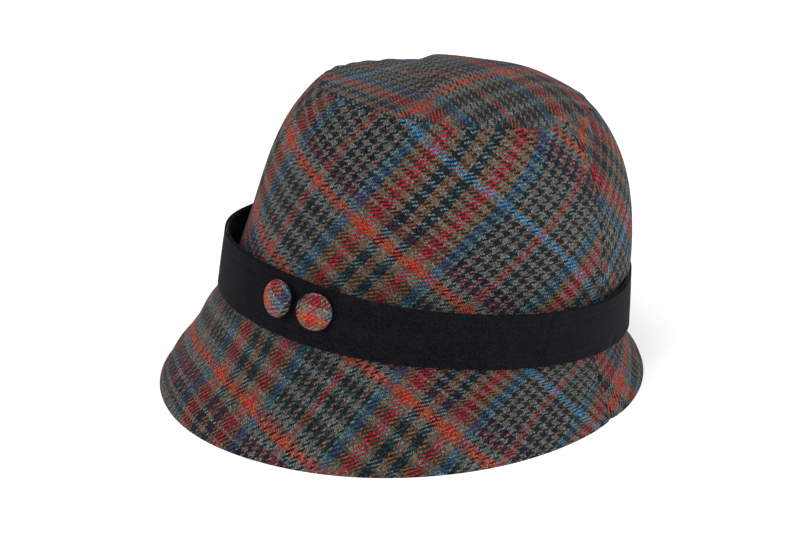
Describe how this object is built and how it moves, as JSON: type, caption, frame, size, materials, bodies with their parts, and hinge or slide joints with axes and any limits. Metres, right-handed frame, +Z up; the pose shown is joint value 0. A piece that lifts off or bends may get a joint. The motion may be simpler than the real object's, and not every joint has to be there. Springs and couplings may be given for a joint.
{
  "type": "cloche hat",
  "caption": "Bell-shaped wool tweed hat with a soft turned-down brim, a dark stand-off band and tweed-covered shank buttons on one side of the front.",
  "frame": {"origin": "under the middle of the brim's rim, on the plane the rim rests on", "axes": "+Z up out of the crown, -Y towards the front of the hat, +X towards the wearer's left"},
  "size_m": [0.225, 0.24, 0.1512],
  "materials": {
    "tweed": "wool tweed, houndstooth with red, navy and pale blue overchecks",
    "canvas": "woven interlining",
    "lining": "smooth lining",
    "grosgrain": "ribbed ribbon",
    "label": "woven satin tab, blank",
    "band_wool": "matt felted wool",
    "stiffener": "bonded web",
    "dark_thread": "sewing thread",
    "steel": "plated"
  },
  "bodies": {
    "hat": {"crown_tip": "tweed", "crown_side_front": "tweed", "crown_side_back": "tweed", "tip_interlining": "canvas", "side_interlining": "canvas", "brim_top_front": "tweed", "brim_top_back": "tweed", "brim_under_front": "tweed", "brim_under_back": "tweed", "brim_interlining": "canvas", "lining_tip": "lining", "lining_side_front": "lining", "lining_side_back": "lining", "sweatband": "grosgrain", "size_label": "label", "band_outer": "band_wool", "band_facing": "band_wool", "band_stiffener": "stiffener", "band_topstitching": "dark_thread", "band_join_stitching": "dark_thread", "band_tacks": "dark_thread"},
    "button_1_stem": {"button_1_thread": "dark_thread"},
    "button_1": {"button_1_cover": "tweed", "button_1_shell": "steel", "button_1_back": "steel", "button_1_shank": "steel"},
    "button_2_stem": {"button_2_thread": "dark_thread"},
    "button_2": {"button_2_cover": "tweed", "button_2_shell": "steel", "button_2_back": "steel", "button_2_shank": "steel"}
  },
  "joints": [
    {"name": "button_1_swivel", "type": "hinge", "parent": "hat", "child": "button_1_stem", "pos_m": [0.02945, -0.07837, 0.06583], "axis": [0.3807, -0.8864, 0.2633], "range_deg": [-25, 25]},
    {"name": "button_1_rock", "type": "hinge", "parent": "button_1_stem", "child": "button_1", "pos_m": [0.03057, -0.08099, 0.0666], "axis": [0.9235, 0.3788, -0.06], "range_deg": [-10, 10]},
    {"name": "button_2_swivel", "type": "hinge", "parent": "hat", "child": "button_2_stem", "pos_m": [0.04697, -0.06922, 0.06438], "axis": [0.5432, -0.8084, 0.2266], "range_deg": [-25, 25]},
    {"name": "button_2_rock", "type": "hinge", "parent": "button_2_stem", "child": "button_2", "pos_m": [0.04857, -0.07161, 0.06505], "axis": [0.8379, 0.5391, -0.0854], "range_deg": [-10, 10]}
  ]
}
